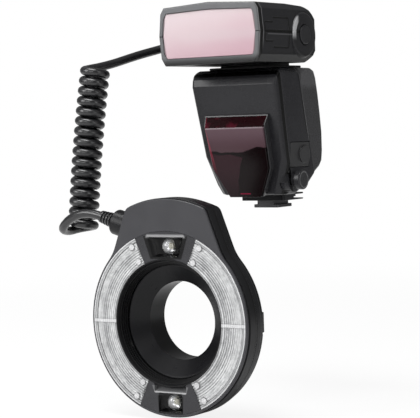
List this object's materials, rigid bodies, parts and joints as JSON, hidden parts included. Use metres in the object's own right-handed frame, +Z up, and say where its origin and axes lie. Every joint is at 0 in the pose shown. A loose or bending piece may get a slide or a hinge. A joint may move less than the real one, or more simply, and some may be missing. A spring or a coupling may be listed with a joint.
{
  "type": "macro ring flash",
  "caption": "Macro ring flash: hot-shoe controller with a swivelling, tilting head, joined by a curly cord to a lens-mounted lamp ring with two curved tubes and focusing lamps.",
  "frame": {"origin": "middle of the bottom face of the controller's shoe foot", "axes": "-Y is the lens direction (front), +X is the right side seen from the front, +Z is up; the lamp ring's axis lies along Y"},
  "size_m": [0.1514, 0.1444, 0.2475],
  "materials": {
    "black_plastic": "fine satin grain",
    "grey_bezel": "satin grey",
    "head_panel": "pale pink diffuser",
    "red_window": "dark red gloss",
    "lcd": "gloss",
    "clear_cover": "ribbed clear",
    "tube_glass": "clear",
    "reflector": "bright",
    "anodised": "black anodised",
    "rubber": "satin",
    "steel": "plain",
    "gold": "gold plate",
    "board": "circuit board",
    "battery": "sleeve"
  },
  "bodies": {
    "controller": {"body_front_shell": "black_plastic", "body_rear_shell": "black_plastic", "af_window": "red_window", "af_window_frame": "black_plastic", "lcd_window": "lcd", "main_board": "board", "batteries": "battery", "battery_tray": "black_plastic", "shoe_base": "black_plastic", "shoe_foot": "steel", "shoe_contacts": "gold", "adapter_ring": "anodised", "cord_coil": "rubber", "cord_upper": "rubber", "cord_lower": "rubber"},
    "neck": {"neck": "black_plastic", "cord_gland": "rubber"},
    "head": {"head_upper_shell": "black_plastic", "head_lower_shell": "black_plastic", "head_bezel": "grey_bezel", "head_panel": "head_panel", "head_chassis": "black_plastic"},
    "head_lock": {"head_lock_button": "black_plastic"},
    "lamp_ring": {"ring_front_shell": "black_plastic", "ring_rear_shell": "black_plastic", "ring_fascia": "black_plastic", "ring_screws": "steel", "bore_liner": "anodised", "cover_left": "clear_cover", "cover_right": "clear_cover", "flash_tube_left": "tube_glass", "flash_tube_right": "tube_glass", "reflector_left": "reflector", "reflector_right": "reflector", "lamp_block_top": "black_plastic", "lamp_block_bottom": "black_plastic", "lamp_lens_top": "clear_cover", "lamp_lens_bottom": "clear_cover", "lamp_board_top": "board", "lamp_board_bottom": "board", "cord_boss": "black_plastic", "strain_relief": "rubber"},
    "ring_release_right": {"release_slide_right": "black_plastic"},
    "ring_release_left": {"release_slide_left": "black_plastic"},
    "button_1": {"function_button_1": "black_plastic"},
    "button_2": {"function_button_2": "black_plastic"},
    "button_3": {"function_button_3": "black_plastic"},
    "button_4": {"function_button_4": "black_plastic"},
    "dial": {"select_dial": "black_plastic"},
    "set_key": {"set_button": "black_plastic"},
    "test_key": {"test_button": "black_plastic"},
    "power": {"power_switch": "black_plastic"},
    "battery_lid": {"battery_door": "black_plastic"},
    "terminal_flap": {"terminal_cover": "rubber"},
    "shoe_lever": {"shoe_lock_lever": "black_plastic"},
    "shoe_pin": {"shoe_lock_pin": "steel"},
    "shoe_release": {"shoe_release_button": "black_plastic"}
  },
  "joints": [
    {"name": "neck_swivel", "type": "hinge", "parent": "controller", "child": "neck", "pos_m": [0, -0.0165, 0.0885], "axis": [0, 0, 1], "range_deg": [-90, 90], "deforming": ["cord_upper"]},
    {"name": "head_tilt", "type": "hinge", "parent": "neck", "child": "head", "pos_m": [0, -0.0165, 0.1085], "axis": [-1, 0, 0], "range_deg": [0, 90]},
    {"name": "head_lock_press", "type": "slide", "parent": "head", "child": "head_lock", "axis": [-1, 0, 0], "range_m": [0, 0.0015], "stiffness_N_per_m": 300},
    {"name": "ring_turn", "type": "hinge", "parent": "controller", "child": "lamp_ring", "pos_m": [0, -0.1, -0.0615], "axis": [0, 1, 0], "range_deg": [-45, 45], "deforming": ["cord_lower"]},
    {"name": "ring_release_right_press", "type": "slide", "parent": "lamp_ring", "child": "ring_release_right", "axis": [-1, 0, 0], "range_m": [0, 0.002], "stiffness_N_per_m": 300},
    {"name": "ring_release_left_press", "type": "slide", "parent": "lamp_ring", "child": "ring_release_left", "axis": [1, 0, 0], "range_m": [0, 0.002], "stiffness_N_per_m": 300},
    {"name": "function_button_1_press", "type": "slide", "parent": "controller", "child": "button_1", "axis": [0, -0.9824, -0.1867], "range_m": [0, 0.0008], "stiffness_N_per_m": 300},
    {"name": "function_button_2_press", "type": "slide", "parent": "controller", "child": "button_2", "axis": [0, -0.9824, -0.1867], "range_m": [0, 0.0008], "stiffness_N_per_m": 300},
    {"name": "function_button_3_press", "type": "slide", "parent": "controller", "child": "button_3", "axis": [0, -0.9824, -0.1867], "range_m": [0, 0.0008], "stiffness_N_per_m": 300},
    {"name": "function_button_4_press", "type": "slide", "parent": "controller", "child": "button_4", "axis": [0, -0.9824, -0.1867], "range_m": [0, 0.0008], "stiffness_N_per_m": 300},
    {"name": "select_dial_turn", "type": "hinge", "parent": "controller", "child": "dial", "pos_m": [0, 0.0182, 0.0386], "axis": [0, 1, 0], "continuous": true},
    {"name": "set_button_press", "type": "slide", "parent": "controller", "child": "set_key", "axis": [0, -1, 0], "range_m": [0, 0.0008], "stiffness_N_per_m": 300},
    {"name": "test_button_press", "type": "slide", "parent": "controller", "child": "test_key", "axis": [0, -1, 0], "range_m": [0, 0.0008], "stiffness_N_per_m": 300},
    {"name": "power_switch_slide", "type": "slide", "parent": "controller", "child": "power", "axis": [0, 0, -1], "range_m": [0, 0.004]},
    {"name": "battery_door_open", "type": "hinge", "parent": "controller", "child": "battery_lid", "pos_m": [-0.02778, 0.01447, 0.05028], "axis": [-0.0225, 0, -0.9997], "range_deg": [0, 100]},
    {"name": "terminal_cover_open", "type": "hinge", "parent": "controller", "child": "terminal_flap", "pos_m": [0.03171, -0.00556, 0.03401], "axis": [0.0669, 0, 0.9978], "range_deg": [0, 90]},
    {"name": "shoe_lock_turn", "type": "hinge", "parent": "controller", "child": "shoe_lever", "pos_m": [0, 0, 0.0067], "axis": [0, 0, 1], "range_deg": [-60, 0]},
    {"name": "shoe_lock_pin_slide", "type": "slide", "parent": "controller", "child": "shoe_pin", "axis": [0, 0, -1], "range_m": [0, 0.0016]},
    {"name": "shoe_release_press", "type": "slide", "parent": "controller", "child": "shoe_release", "axis": [-1, 0, 0], "range_m": [0, 0.002], "stiffness_N_per_m": 300}
  ],
  "couplings": [
    {"joint": "shoe_lock_pin_slide", "follows": "shoe_lock_turn", "m_per_rad": -0.00143}
  ]
}
